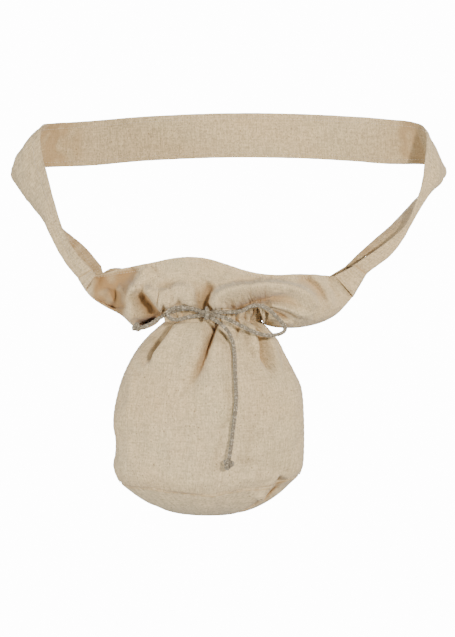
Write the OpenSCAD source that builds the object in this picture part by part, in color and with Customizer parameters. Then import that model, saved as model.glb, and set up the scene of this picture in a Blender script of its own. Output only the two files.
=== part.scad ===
// Drawstring treat pouch on a wide fabric sling strap.
// Origin: centre of the base's flat underside. +Z up, front towards -Y. Millimetres.

/* [Body] */
// Width of the filled body between its side seams
body_w = 208; // [160:1:260]
// Depth of the filled body, front to back
body_d = 126; // [80:1:160]
// Height of the drawstring above the underside
neck_h = 221; // [180:1:260]
// Width of the gathered neck
neck_w = 128; // [100:1:160]
// Depth of the gathered neck
neck_d = 46; // [36:1:60]
// How far the gathered neck sits to the right of the base centre
neck_x = 9; // [-20:1:20]
// How far the base bulges below its seam
base_drop = 27; // [15:1:40]
// Thickness of the body and strap fabric
cloth_t = 1.2; // [0.8:0.1:2]

/* [Mouth] */
// Height of the mouth's rim at its middle
rim_h = 278; // [255:1:300]
// Depth of the flared mouth, front to back
mouth_d = 84; // [60:1:120]
// Width of the tabs that join the mouth to the strap
tab_len = 12; // [8:1:24]

/* [Strap] */
// Width of the strap
strap_w = 52; // [35:1:70]
// Height of the strap's middle line at the back
loop_h = 430; // [360:5:560]
// Overall width of the strap loop
loop_w = 476; // [400:2:600]
// How far the loop's back band stands behind the pouch centre
loop_back = 142; // [80:1:200]
// How far the loop sits to the right of the base centre
loop_x = 18; // [-20:1:30]
// Distance between the strap's two sewn ends
end_gap = 298; // [240:2:340]

/* [Drawstring] */
// Diameter of the drawstring
cord_d = 4.5; // [3:0.5:7]
// Outside radius of the casing that the drawstring runs in
casing_r = 7; // [5:0.5:10]
// Length of the long hanging tail
tail_len = 160; // [60:5:200]
// Diameter of the overhand knots at the tail ends
end_knot_d = 11; // [8:0.5:16]

/* [Hidden] */
$fn = 40;
gap = 0.4;
thread_r = 0.5;
seam_t = 1.2;
seam_proud = 1.8;
cord_r = cord_d / 2;
bore_r = cord_r + 1.25;
knot_r = 7.5;
knot_x = -2;
neck_arc_r = (pow(neck_w / 2, 2) + pow(neck_d / 2, 2)) / neck_d;
neck_arc_a = asin(neck_w / 2 / neck_arc_r);
knot_y = -neck_d / 2 - casing_r - knot_r - 1;
body_top = neck_h - casing_r - 1.5;
mouth_foot = neck_h + casing_r + 1.5;
mouth_l = loop_x - end_gap / 2 + tab_len + 2 * gap;
mouth_r = loop_x + end_gap / 2 - tab_len - 2 * gap;
fabric = [0.82, 0.77, 0.69];
fabric_dark = [0.76, 0.70, 0.61];
thread = [0.88, 0.84, 0.76];
cord = [0.66, 0.61, 0.54];

// ---- curves and sheets ----

// A smooth curve through the stations p, at place t from 0 to len(p) - 1.
function through(p, t) =
    let (
        n = len(p) - 1,
        i = min(floor(t), n - 1),
        f = t - i,
        a = i > 0 ? p[i - 1] : 2 * p[0] - p[1],
        b = p[i],
        c = p[i + 1],
        d = i < n - 1 ? p[i + 2] : 2 * p[n] - p[n - 1]
    )
    0.5 * (2 * b + (c - a) * f + (2 * a - 5 * b + 4 * c - d) * f * f
        + (3 * b - 3 * c + d - a) * f * f * f);

function unit(v) = v / norm(v);

// Normals of a grid of rows, from its neighbours along and across.
function grid_normal(g, i, j) =
    let (
        m = len(g) - 1,
        n = len(g[0]) - 1,
        along = g[min(i + 1, m)][j] - g[max(i - 1, 0)][j],
        across = g[i][min(j + 1, n)] - g[i][max(j - 1, 0)]
    )
    unit(cross(along, across));

// The grid g moved along its normals by h.
function raised(g, h) =
    [for (i = [0:len(g) - 1]) [for (j = [0:len(g[0]) - 1])
        g[i][j] + h * grid_normal(g, i, j)]];

function flat(g) = [for (row = g) for (p = row) p];

// A closed sheet between the grids a (normal side) and b.
module sheet(a, b) {
    m = len(a);
    n = len(a[0]);
    s = m * n;
    top = [for (i = [0:m - 2]) for (j = [0:n - 2]) let (k = i * n + j)
        each [[k, k + 1, k + n + 1], [k, k + n + 1, k + n]]];
    low = [for (f = top) [f[2] + s, f[1] + s, f[0] + s]];
    side = concat(
        [for (j = [0:n - 2]) [j + 1, j, s + j, s + j + 1]],
        [for (j = [0:n - 2]) let (k = (m - 1) * n + j)
            [k, k + 1, s + k + 1, s + k]],
        [for (i = [0:m - 2]) let (k = i * n) [k, k + n, s + k + n, s + k]],
        [for (i = [0:m - 2]) let (k = i * n + n - 1)
            [k + n, k, s + k, s + k + n]]);
    tri = [for (q = side) each [[q[0], q[1], q[2]], [q[0], q[2], q[3]]]];
    polyhedron(concat(flat(a), flat(b)), concat(top, low, tri), convexity = 8);
}

// A round strand of cord along the stations p.
module strand(p, steps = 24, r = cord_r, sides = 10) {
    n = len(p) - 1;
    line = [for (i = [0:steps]) through(p, n * i / steps)];
    rings = [for (i = [0:steps])
        let (
            t = unit(line[min(i + 1, steps)] - line[max(i - 1, 0)]),
            u = unit(cross(t, [0, 1, 0.02])),
            v = cross(t, u)
        )
        [for (k = [0:sides - 1]) line[i]
            + r * (cos(360 * k / sides) * u + sin(360 * k / sides) * v)]];
    wall = [for (i = [0:steps - 1]) for (k = [0:sides - 1])
        let (a = i * sides + k, b = i * sides + (k + 1) % sides)
        each [[a, b + sides, b], [a, a + sides, b + sides]]];
    start = [for (k = [0:sides - 1]) k];
    stop = [for (k = [sides - 1:-1:0]) steps * sides + k];
    polyhedron(flat(rings), concat(wall, [start, stop]), convexity = 8);
}

// ---- the body's shape ----

// Half width and half depth of the body at heights from the base seam to the neck.
belly = [
    [base_drop, body_w * 0.44, body_d * 0.44],
    [base_drop + 30, body_w * 0.5, body_d * 0.5],
    [neck_h * 0.45, body_w * 0.5, body_d * 0.5],
    [neck_h * 0.68, body_w * 0.465, body_d * 0.44],
    [neck_h * 0.86, body_w * 0.37, body_d * 0.31],
    [body_top, neck_w * 0.47, neck_d * 0.53]
];

function belly_at(s) = through(belly, s * (len(belly) - 1));

// How far the body's middle has drifted towards the neck at height z.
function drift(z) = neck_x * pow(max(z - base_drop, 0) / neck_h, 2);

// Point on the body at place s up the wall and angle a around it, grown by h.
function body_point(s, a, h = 0) =
    let (q = belly_at(s))
    [drift(q[0]) + (q[1] + h) * cos(a), (q[2] + h) * sin(a), q[0]];

// Front face of the body at x and height z.
function front_y(x, z) =
    let (
        wide = lookup(z, [for (q = belly) [q[0], q[1]]]),
        deep = lookup(z, [for (q = belly) [q[0], q[2]]]),
        k = min(abs(x - drift(z)) / wide, 1)
    )
    -deep * sqrt(1 - k * k);

module body_wall(a0, a1) {
    rows = 14;
    cols = 20;
    out = [for (j = [0:cols]) [for (i = [0:rows])
        body_point(0.012 + 0.988 * i / rows, a0 + (a1 - a0) * j / cols)]];
    in = [for (j = [0:cols]) [for (i = [0:rows])
        body_point(0.012 + 0.988 * i / rows, a0 + (a1 - a0) * j / cols,
            -cloth_t)]];
    sheet(in, out);
}

module front_panel() {
    color(fabric) body_wall(181, 359);
}

module rear_panel() {
    color(fabric) body_wall(1, 179);
}

// Narrow ridge down the side where the two panels are sewn together.
module side_seam(a) {
    steps = 16;
    side = cos(a);
    edge = function(h, y) [for (i = [0:steps])
        body_point(0.012 + 0.988 * i / steps, a, h) + [0, y, 0]];
    t = seam_t / 4;
    grid = function(h) [for (i = [0:steps]) [edge(h, -t)[i], edge(h, t)[i]]];
    if (side > 0) sheet(grid(-cloth_t + 0.1), grid(seam_proud));
    if (side < 0) sheet(grid(seam_proud), grid(-cloth_t + 0.1));
}

module left_side_seam() {
    color(fabric_dark) side_seam(180);
}

module right_side_seam() {
    color(fabric_dark) side_seam(0);
}

// ---- the base ----

foot_w = belly[0][1];
foot_d = belly[0][2];
sole_cut = 0.3;

module bowl(h) {
    top = base_drop - seam_t / 2 - 0.3;
    scale([1, foot_d / foot_w, 1]) rotate_extrude($fn = 96)
        polygon(concat(
            [[0, h]],
            [for (a = [0:6:90]) [
                foot_w * 0.3 + (foot_w * 0.7 - h) * sin(a),
                h + (top - h) * (1 - cos(a))]],
            [[0, top]]));
}

module base_panel() {
    reach = foot_w * 2;
    color(fabric_dark) difference() {
        translate([0, 0, -sole_cut]) difference() {
            bowl(0);
            translate([0, 0, 0.01]) bowl(cloth_t + sole_cut);
        }
        translate([-reach, -reach, -10]) cube([2 * reach, 2 * reach, 10]);
    }
}

module base_seam() {
    color(fabric_dark) translate([0, 0, base_drop - seam_t / 2])
        scale([1, foot_d / foot_w, 1]) difference() {
            cylinder(h = seam_t, r = foot_w + seam_proud, $fn = 96);
            translate([0, 0, -1])
                cylinder(h = seam_t + 2, r = foot_w - cloth_t, $fn = 96);
        }
}

// ---- the gathered neck ----

// One curved side of the neck: a round bar of radius r whose ends stop short.
module neck_bar(r, z, inset, grow = 0) {
    a = neck_arc_a - inset;
    translate([neck_x, neck_arc_r - neck_d / 2, z]) rotate([0, 0, 270 - a])
        rotate_extrude(angle = 2 * a, $fn = 120)
            translate([neck_arc_r + grow, 0]) circle(r = r, $fn = 32);
}

module casing() {
    difference() {
        neck_bar(casing_r, neck_h, 7);
        neck_bar(bore_r, neck_h, 5);
    }
}

module front_casing() {
    color(fabric_dark) difference() {
        casing();
        translate([knot_x, -neck_d / 2, neck_h]) rotate([90, 0, 0])
            cylinder(h = 3 * casing_r, r = bore_r + 2);
    }
}

module rear_casing() {
    color(fabric_dark) translate([2 * neck_x, 0, 0]) rotate([0, 0, 180])
        casing();
}

module casing_stitching() {
    reach = casing_r + thread_r + 0.2;
    for (side = [-1, 1])
        neck_bar(thread_r, neck_h + side * reach, 7, 0);
}

module front_casing_stitching() {
    color(thread) casing_stitching();
}

module rear_casing_stitching() {
    color(thread) translate([2 * neck_x, 0, 0]) rotate([0, 0, 180])
        casing_stitching();
}

module drawstring_half(side) {
    exit_a = asin((knot_x - neck_x) / neck_arc_r);
    keep = side < 0 ? [270 - neck_arc_a + 7, 270 + exit_a - 1]
        : [270 + exit_a + 1, 270 + neck_arc_a - 7];
    translate([neck_x, neck_arc_r - neck_d / 2, neck_h])
        rotate([0, 0, keep[0]])
            rotate_extrude(angle = keep[1] - keep[0], $fn = 120)
                translate([neck_arc_r, 0]) circle(r = cord_r, $fn = 24);
}

module left_drawstring_run() {
    color(cord) drawstring_half(-1);
}

module right_drawstring_run() {
    color(cord) drawstring_half(1);
}

module rear_drawstring_run() {
    color(cord) translate([2 * neck_x, 0, 0]) rotate([0, 0, 180])
        neck_bar(cord_r, neck_h, 7);
}

// ---- the flared mouth ----

// Point on the front mouth panel, u from -1 to 1 across and v from foot to rim.
function mouth_point(u, v) =
    let (
        w = 1 - u * u,
        mid = (mouth_l + mouth_r) / 2,
        half = (mouth_r - mouth_l) / 2,
        foot = [neck_x + 0.92 * neck_w / 2 * u,
            -gap - neck_d / 2 * w, mouth_foot],
        bulge = [mid + 0.8 * half * u, -gap - mouth_d * 0.62 * w,
            mouth_foot + 4 - 12 * u * u],
        rim = [mid + half * u, -gap - mouth_d / 2 * w,
            rim_h - 13 * u * u]
    )
    (1 - v) * (1 - v) * foot + 2 * v * (1 - v) * bulge + v * v * rim;

function mouth_grid(v0, v1, rows, reach = 1, cols = 24) =
    [for (i = [0:cols]) [for (j = [0:rows])
        mouth_point(reach * (2 * i / cols - 1), v0 + (v1 - v0) * j / rows)]];

module mouth_panel() {
    g = mouth_grid(0, 1, 8);
    sheet([for (row = g) [for (p = row) p + [0, cloth_t, 0]]], g);
}

module hem_stitching() {
    g = mouth_grid(0.86, 0.885, 1, 0.97);
    lift = function(h) [for (row = g) [for (p = row) p - [0, h, 0]]];
    sheet(lift(0.3), lift(0.3 + thread_r));
}

module front_mouth_panel() {
    color(fabric) mouth_panel();
}

module rear_mouth_panel() {
    color(fabric) mirror([0, 1, 0]) mouth_panel();
}

module front_hem_stitching() {
    color(thread) hem_stitching();
}

module rear_hem_stitching() {
    color(thread) mirror([0, 1, 0]) hem_stitching();
}

// ---- the bow and its tails ----

knot_at = [knot_x, knot_y, neck_h];

// A round wrap of cord about the knot's middle, tipped by the angle a.
module wrap(a) {
    rotate([0, a, 0]) rotate([90, 0, 90]) rotate_extrude($fn = 40)
        translate([knot_r - cord_r, 0]) circle(r = cord_r, $fn = 20);
}

module bow_knot() {
    color(cord) translate(knot_at) {
        sphere(r = knot_r - 0.8 * cord_r, $fn = 32);
        wrap(18);
        wrap(-62);
    }
}

module left_loop() {
    color(cord) translate(knot_at) strand([
        [-9.5, 0, 3.2], [-24, -1, 6], [-37, -2, 4.5], [-42, -2, -1],
        [-36, -2, -7], [-22, -1, -5], [-9.5, 0, -2.4]]);
}

module right_loop() {
    color(cord) translate(knot_at) strand([
        [9.5, 0, 3.4], [24, -1, 3.5], [46, -2, 8], [62, -2, 8.5],
        [76, -2, -1], [85, -2, -14], [76, -2, -22], [56, -2, -20],
        [36, -1, -11], [21, -1, -4.5], [9.5, 0, -2]], 40);
}

tail_x = knot_x + 30;
tail_gap = cord_r + 3;
end_knot_r = end_knot_d / 2;
tail_end = neck_h - tail_len;

function tail_point(x, z) = [x, min(front_y(x, z) - tail_gap, knot_y - 2), z];

module front_tail() {
    drop = tail_len - 50 - end_knot_r - gap;
    color(cord) strand(concat(
        [knot_at + [6, 0, -7.5], knot_at + [14, -1, -11],
            knot_at + [23, -2, -22], knot_at + [28, -4, -36]],
        [for (f = [0:0.25:1]) tail_point(tail_x + 2 - 6 * f * f,
            neck_h - 50 - drop * f)]), 40);
}

module front_tail_knot() {
    p = tail_point(tail_x - 5, tail_end);
    color(cord) translate([p[0], p[1] - 1, p[2]])
        sphere(r = end_knot_r, $fn = 32);
}

side_end = knot_at + [-76, 3, -15];

module side_tail() {
    color(cord) strand([
        knot_at + [-8.5, 5, 1], knot_at + [-24, 5.5, 3],
        knot_at + [-40, 4, 0], knot_at + [-58, 3, -8],
        side_end + [end_knot_r + 0.3, 0, 1]]);
}

module side_tail_knot() {
    color(cord) translate(side_end) sphere(r = end_knot_r, $fn = 32);
}

// ---- the strap ----

half_w = strap_w / 2;
end_x = end_gap / 2;
side_x = loop_w / 2;

// Stations of the strap's right side: front edge, middle fold line, rear edge.
strap_side = [
    [[end_x, -4, 269], [end_x, 10, 258], [end_x, 19, 274]],
    [[end_x + 41, 14, 317], [end_x + 51, 26, 313], [end_x + 35, 45, 318]],
    [[side_x - 30, 41, 371], [side_x - 12, 53, 355], [side_x - 14, 79, 352]],
    [[side_x - 18, 70, 430], [side_x, 79, 405], [side_x + 4, 90, 383]],
    [[side_x - 31, 99, 442], [side_x - 21, 103, 416], [side_x - 18, 105, 391]]
];

// Stations of the back band, standing upright on a shallow bow.
function band(x) =
    let (k = pow(x / side_x, 2), y = loop_back - 42 * k, z = loop_h - 12 * k)
    [[x, y, z + half_w], [x, y, z], [x, y, z - half_w]];

function flipped(st) = [for (p = st) [-p[0], p[1], p[2]]];

strap_stations = concat(
    [for (st = strap_side) st],
    [band(side_x * 0.72), band(side_x * 0.36), band(0),
        band(-side_x * 0.36), band(-side_x * 0.72)],
    [for (i = [len(strap_side) - 1:-1:0]) flipped(strap_side[i])]);

// Point on the strap at place t along it and c across it: -1 front, 1 rear edge.
function strap_point(t, c) =
    let (
        n = len(strap_stations) - 1,
        edge = function(k) through([for (st = strap_stations) st[k]], t * n),
        fold = edge(1),
        out = c < 0 ? edge(0) : edge(2)
    )
    fold + abs(c) * (out - fold) + [loop_x, 0, 0];

function strap_grid(c0, c1, cols, t0 = 0, t1 = 1, steps = 84) =
    [for (i = [0:steps]) [for (j = [0:cols])
        strap_point(t0 + (t1 - t0) * i / steps,
            c0 + (c1 - c0) * j / cols)]];

module strap() {
    g = strap_grid(-1, 1, 4);
    color(fabric) sheet(raised(g, cloth_t / 2), raised(g, -cloth_t / 2));
}

module strap_stitching() {
    lift = cloth_t / 2 + 0.6;
    color(thread) for (c = [-0.9, 0.86]) {
        g = strap_grid(c, c + 0.04, 1, 0.004, 0.996);
        sheet(raised(g, lift + thread_r), raised(g, lift));
    }
}

// ---- the tabs ----

// Cross-section of a folded tab at x, grown outwards by h.
function tab_ring(x, h) = [
    [x, -4 - h, 269 + h], [x, 3, 263 - h], [x, 10, 258 - 1.4 * h],
    [x, 15, 266 - h], [x, 19 + h, 274 + h]];

// A folded sheet of the tab's section from x0 to x1 between growths h0 and h1.
module tab_sheet(x0, x1, h0, h1) {
    rows = function(h) [for (i = [0:4]) tab_ring(x0 + (x1 - x0) * i / 4, h)];
    sheet(rows(h0), rows(h1));
}

left_end = loop_x - end_x;
right_end = loop_x + end_x;

module left_tab() {
    color(fabric_dark)
        tab_sheet(left_end + 2 * gap, left_end + tab_len, 0, cloth_t);
}

module right_tab() {
    color(fabric_dark)
        tab_sheet(right_end - tab_len, right_end - 2 * gap, 0, cloth_t);
}

module tab_stitching(x) {
    color(thread) for (dx = [-3, 2])
        tab_sheet(x + dx, x + dx + 2 * thread_r, cloth_t + 0.2,
            cloth_t + 0.2 + thread_r);
}

module left_tab_stitching() {
    tab_stitching(left_end + tab_len / 2);
}

module right_tab_stitching() {
    tab_stitching(right_end - tab_len / 2);
}

strap();
strap_stitching();
left_tab();
right_tab();
left_tab_stitching();
right_tab_stitching();
front_mouth_panel();
rear_mouth_panel();
front_hem_stitching();
rear_hem_stitching();
front_casing();
rear_casing();
front_casing_stitching();
rear_casing_stitching();
left_drawstring_run();
right_drawstring_run();
rear_drawstring_run();
bow_knot();
left_loop();
right_loop();
front_tail();
front_tail_knot();
side_tail();
side_tail_knot();
front_panel();
rear_panel();
left_side_seam();
right_side_seam();
base_panel();
base_seam();
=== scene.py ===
"""A drawstring treat pouch in unbleached cotton, on a wide sling strap of the same cloth.

Lengths inside the functions are in millimetres in the frame's own axes: x to the right, y to
the back, z up. make_mesh turns them into metres.
"""

import math

import bpy
import numpy as np
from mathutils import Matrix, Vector


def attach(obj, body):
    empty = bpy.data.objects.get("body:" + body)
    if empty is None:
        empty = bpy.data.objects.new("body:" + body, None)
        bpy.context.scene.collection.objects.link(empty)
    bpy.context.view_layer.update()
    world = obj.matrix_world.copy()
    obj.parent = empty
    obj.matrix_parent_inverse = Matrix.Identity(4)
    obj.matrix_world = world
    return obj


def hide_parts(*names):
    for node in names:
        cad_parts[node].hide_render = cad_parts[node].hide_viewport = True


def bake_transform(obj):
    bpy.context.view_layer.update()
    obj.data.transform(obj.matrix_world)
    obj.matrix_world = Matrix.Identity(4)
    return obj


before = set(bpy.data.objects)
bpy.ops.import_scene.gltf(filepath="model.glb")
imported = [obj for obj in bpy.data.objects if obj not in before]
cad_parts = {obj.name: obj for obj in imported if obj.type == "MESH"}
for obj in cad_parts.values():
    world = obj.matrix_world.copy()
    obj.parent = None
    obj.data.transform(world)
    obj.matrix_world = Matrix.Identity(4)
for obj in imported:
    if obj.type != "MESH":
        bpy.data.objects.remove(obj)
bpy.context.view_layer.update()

MM = 0.001
CLOTH = 1.1                     # thickness of the cotton
CORD_R = 2.25                   # radius of the braided drawstring
FRONT, REAR = -1, 1             # side of the pouch, as the sign of y


# ---------------------------------------------------------------- numbers and curves

def smooth(t):
    """0 below 0, 1 above 1 and an even S between."""
    t = np.clip(t, 0.0, 1.0)
    return t * t * (3 - 2 * t)


def unit_grid(m, n):
    """Two m by n fields that run from 0 to 1, one down the rows and one across them."""
    return np.meshgrid(np.linspace(0, 1, m), np.linspace(0, 1, n), indexing="ij")


def through(points, t):
    """Smooth curve through the points, at places t from 0 to 1."""
    p = np.asarray(points, float)
    n = len(p) - 1
    p = np.vstack([2 * p[0] - p[1], p, 2 * p[-1] - p[-2]])
    s = np.clip(np.asarray(t, float) * n, 0, n - 1e-9)
    i = s.astype(int)
    f = (s - i)[..., None]
    a, b, c, d = (p[i + k] for k in range(4))
    return 0.5 * (2 * b + (c - a) * f + (2 * a - 5 * b + 4 * c - d) * f ** 2
                  + (3 * b - 3 * c + d - a) * f ** 3)


def run_along(line):
    """Distance from the start of a line of points to each of them."""
    return np.r_[0, np.cumsum(np.linalg.norm(np.diff(line, axis=0), axis=1))]


def evenly(points, count):
    """The same curve, as points spaced evenly along its length."""
    line = through(points, np.linspace(0, 1, 40 * len(points)))
    run = run_along(line)
    at = np.linspace(0, run[-1], count)
    return np.stack([np.interp(at, run, line[:, k]) for k in range(line.shape[1])], 1)


def level(points, at):
    """Height of a curve of (place, value) pairs at the places given."""
    line = through(points, np.linspace(0, 1, 30 * len(points)))
    order = np.argsort(line[:, 0])
    return np.interp(at, line[order, 0], line[order, 1])


def waves(a, b, size, seed):
    """Soft random undulation over two coordinates, between about -1 and 1."""
    count = 7
    rng = np.random.default_rng(seed)
    total = np.zeros(np.broadcast(a, b).shape)
    for _ in range(count):
        turn = rng.uniform(0, 2 * math.pi)
        rate = 2 * math.pi / (size * rng.uniform(0.6, 1.7))
        total = total + np.sin(rate * (a * math.cos(turn) + b * math.sin(turn))
                               + rng.uniform(0, 2 * math.pi))
    return total / math.sqrt(count)


def near(path, x, z):
    """For points of the front view: distance to a path, its side, its place and the way left."""
    line = evenly(path, 30)
    start, step = line[:-1], np.diff(line, axis=0)
    size2 = (step ** 2).sum(1)
    dx, dz = x[..., None] - start[:, 0], z[..., None] - start[:, 1]
    f = np.clip((dx * step[:, 0] + dz * step[:, 1]) / size2, 0, 1)
    ex, ez = dx - f * step[:, 0], dz - f * step[:, 1]
    distance = np.hypot(ex, ez)
    closest = distance.argmin(-1)
    side = step[:, 0] * ez - step[:, 1] * ex
    left = np.stack([-step[:, 1], step[:, 0]], 1) / np.sqrt(size2)[:, None]
    pick = (*np.indices(x.shape), closest)
    return distance[pick], np.sign(side[pick]), (closest + f[pick]) / len(step), left[closest]


def fold(x, z, path, height, width, other=None, ends=(0.0, 0.4), sharp=1.7, lean=0.0):
    """A ridge (a valley if height is below 0) along a path, as moves along x, outward and up.

    The widths are for its left and its right, and lean pushes it over to its left."""
    d, side, t, left = near(path, x, z)
    w = np.where(side > 0, width, other or width)
    rise = smooth(t / ends[0]) if ends[0] else 1.0
    fall = smooth((1 - t) / ends[1]) if ends[1] else 1.0
    shape = np.exp(-(d / w) ** sharp) * rise * fall
    return np.stack([left[..., 0] * lean * shape, height * shape, left[..., 1] * lean * shape], -1)


def creases(x, z, *folds):
    """The summed moves of several folds, each given as fold's path, height, width and so on."""
    return sum(fold(x, z, *one) for one in folds)


def blurred(field, across, along):
    """The field averaged over about the given numbers of points each way."""
    for axis, reach in ((0, across), (1, along)):
        kernel = np.hanning(2 * reach + 3)[1:-1]
        kernel /= kernel.sum()
        padded = np.pad(field, [(reach, reach) if k == axis else (0, 0) for k in range(2)], "edge")
        field = np.apply_along_axis(np.convolve, axis, padded, kernel, "valid")
    return field


def softened(folds, across=2, along=2):
    """Fold moves with their sharpest creases rounded off."""
    return np.stack([blurred(folds[..., k], across, along) for k in range(3)], -1)


def fold_shade(height, across, along, deep=7.0):
    """0 on open cloth, rising to 1 in hollows: places lying below the cloth around them."""
    hollow = blurred(height, across, along) - height
    return np.clip(hollow / deep - 0.12, 0, 1)


# ---------------------------------------------------------------- meshes

def normals(grid):
    """Unit normals of a grid of points."""
    across = np.gradient(grid, axis=1)
    along = np.gradient(grid, axis=0)
    n = np.cross(along, across)
    return n / np.maximum(np.linalg.norm(n, axis=2, keepdims=True), 1e-9)


def make_mesh(name, points, faces, uvs, material, shade=None):
    """One object from points in millimetres, with a UV per point in metres of cloth."""
    mesh = bpy.data.meshes.new(name)
    mesh.from_pydata((np.asarray(points) * MM).tolist(), [], faces)
    layer = mesh.uv_layers.new(name="cloth")
    loops = np.zeros(len(mesh.loops), np.int32)
    mesh.loops.foreach_get("vertex_index", loops)
    layer.data.foreach_set("uv", np.asarray(uvs, np.float32)[loops].ravel())
    tint = mesh.attributes.new("fold_shade", "FLOAT", "POINT")
    values = np.zeros(len(points)) if shade is None else shade
    tint.data.foreach_set("value", np.asarray(values, np.float32).ravel())
    mesh.polygons.foreach_set("use_smooth", [True] * len(mesh.polygons))
    mesh.materials.append(material)
    mesh.update()
    obj = bpy.data.objects.new(name, mesh)
    bpy.context.scene.collection.objects.link(obj)
    return obj


def grid_faces(m, n, base=0, flip=False):
    """Quads between the points of an m by n grid whose first point has the number base."""
    i, j = np.meshgrid(np.arange(m - 1), np.arange(n - 1), indexing="ij")
    a = (base + i * n + j).ravel()
    quads = np.stack([a, a + 1, a + n + 1, a + n], 1)
    return (quads[:, ::-1] if flip else quads).tolist()


def cloth_uv(grid):
    """Arc lengths along both directions of a grid, in metres."""
    u = np.zeros(grid.shape[:2])
    v = np.zeros(grid.shape[:2])
    u[1:] = np.cumsum(np.linalg.norm(np.diff(grid, axis=0), axis=2), axis=0)
    v[:, 1:] = np.cumsum(np.linalg.norm(np.diff(grid, axis=1), axis=2), axis=1)
    u[:] = u.mean(axis=1, keepdims=True)
    v[:] = v.mean(axis=0, keepdims=True)
    return np.stack([u, v], 2) * MM


def sheet(name, grid, material, shade, thick=CLOTH, lift=0.0, lining=None):
    """Cloth with real thickness around a grid of points; lift moves its middle along the normals.

    shade is painted shade, warm and dark, on both faces in the folds; lining, if given, is the painted
    shade that takes its place on the far face."""
    m, n = grid.shape[:2]
    up = normals(grid)
    half = np.broadcast_to(np.asarray(thick, float) / 2, (m, n))[..., None]
    outer = grid + up * (half + lift)
    inner = grid - up * (half - lift)
    points = np.vstack([outer.reshape(-1, 3), inner.reshape(-1, 3)])
    s = m * n
    faces = grid_faces(m, n, 0, True) + grid_faces(m, n, s)
    rim = ([i * n for i in range(m)] + [(m - 1) * n + j for j in range(1, n)]
           + [i * n + n - 1 for i in range(m - 2, -1, -1)]
           + [j for j in range(n - 2, 0, -1)])
    for a, b in zip(rim, rim[1:] + rim[:1]):
        faces.append([b, a, a + s, b + s])
    uv = cloth_uv(grid).reshape(-1, 2)
    tint = shade.ravel()
    far = tint if lining is None else lining.ravel()
    return make_mesh(name, points, faces, np.vstack([uv, uv]), material, np.r_[tint, far])


def resampled(grid, rows, cols):
    """A coarse grid of vectors brought smoothly to rows by cols points."""
    m, n, k = grid.shape
    tall = through(grid.reshape(m, n * k), np.linspace(0, 1, rows)).reshape(rows, n, k)
    wide = through(tall.transpose(1, 0, 2).reshape(n, rows * k), np.linspace(0, 1, cols))
    return wide.reshape(cols, rows, k).transpose(1, 0, 2)


def cloth_trial(name, start, hold, ease):
    """A bare mesh of a grid of points with a cloth simulation on it that hold keeps in place."""
    rows, cols = start.shape[:2]
    trial = make_mesh(name, start.reshape(-1, 3), grid_faces(rows, cols),
                      np.zeros((rows * cols, 2)), CANVAS)
    group = trial.vertex_groups.new(name="held")
    for k, weight in enumerate(hold):
        group.add([k], float(weight), "REPLACE")
    cloth = trial.modifiers.new("cloth", "CLOTH")
    settings = dict(quality=6, mass=0.15, tension_stiffness=20, compression_stiffness=20,
                    shear_stiffness=8, bending_stiffness=0.4, pin_stiffness=1.0, shrink_min=-ease,
                    vertex_group_mass="held")
    for key, value in settings.items():
        setattr(cloth.settings, key, value)
    cloth.settings.effector_weights.gravity = 0
    cloth.collision_settings.use_collision = False
    return trial, cloth


def settle(name, grid, held, ease, step):
    """The grid after a short cloth simulation, run on a coarser copy of it and applied back.

    held is how firmly each point stays put, ease how much longer than its outline the cloth is,
    and step how many grid points make one of the copy."""
    furthest, frames = 5.0, 18
    m, n = grid.shape[:2]
    coarse = resampled(np.dstack([grid, held]), m // step + 1, n // step + 1)
    start = coarse[..., :3]
    trial, cloth = cloth_trial(name, start, np.clip(coarse[..., 3], 0, 1).ravel(), ease)
    cloth.point_cache.frame_start, cloth.point_cache.frame_end = 1, frames
    for frame_number in range(1, frames + 1):
        bpy.context.scene.frame_set(frame_number)
    settled = trial.evaluated_get(bpy.context.evaluated_depsgraph_get()).data
    points = np.zeros(start.size, np.float32)
    settled.vertices.foreach_get("co", points)
    drift = points.reshape(start.shape) / MM - start
    size = np.linalg.norm(drift, axis=2, keepdims=True)
    drift *= furthest * np.tanh(size / furthest) / np.maximum(size, 1e-6)
    bpy.data.objects.remove(trial)
    bpy.context.scene.frame_set(1)
    return grid + resampled(drift, m, n)


def edge_hold(m, n, inside, reach=(0.05, 0.05)):
    """Weights that are 1 at the edges of an m by n grid and fall to inside in its middle."""
    u, v = unit_grid(m, n)
    free = smooth(np.minimum(u, 1 - u) / reach[0]) * smooth(np.minimum(v, 1 - v) / reach[1])
    return 1 - (1 - inside) * free


def moving_frame(line):
    """Two directions across a curve that turn with it without twisting."""
    t = np.gradient(line, axis=0)
    t /= np.linalg.norm(t, axis=1, keepdims=True)
    u = np.zeros_like(t)
    first = np.cross(t[0], [0.13, 1.0, 0.21])
    u[0] = first / np.linalg.norm(first)
    for k in range(1, len(t)):
        w = u[k - 1] - t[k] * np.dot(u[k - 1], t[k])
        u[k] = w / np.linalg.norm(w)
    return u, np.cross(t, u)


def tube(line, radius, sides):
    """Points and faces of a capped round strand along a line."""
    u, v = moving_frame(line)
    turn = np.linspace(0, 2 * math.pi, sides, endpoint=False)
    ring = np.cos(turn)[None, :, None] * u[:, None] + np.sin(turn)[None, :, None] * v[:, None]
    r = np.broadcast_to(np.asarray(radius, float), (len(line),))[:, None, None]
    points = (line[:, None] + r * ring).reshape(-1, 3)
    faces = []
    for i in range(len(line) - 1):
        for k in range(sides):
            a, b = i * sides + k, i * sides + (k + 1) % sides
            faces.append([a, b, b + sides, a + sides])
    faces.append(list(range(sides))[::-1])
    faces.append([(len(line) - 1) * sides + k for k in range(sides)])
    run = run_along(line)
    uv = np.stack(np.broadcast_arrays(
        (turn / (2 * math.pi) * 6)[None, :], run[:, None]), 2).reshape(-1, 2) * MM
    return points, faces, uv


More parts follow.
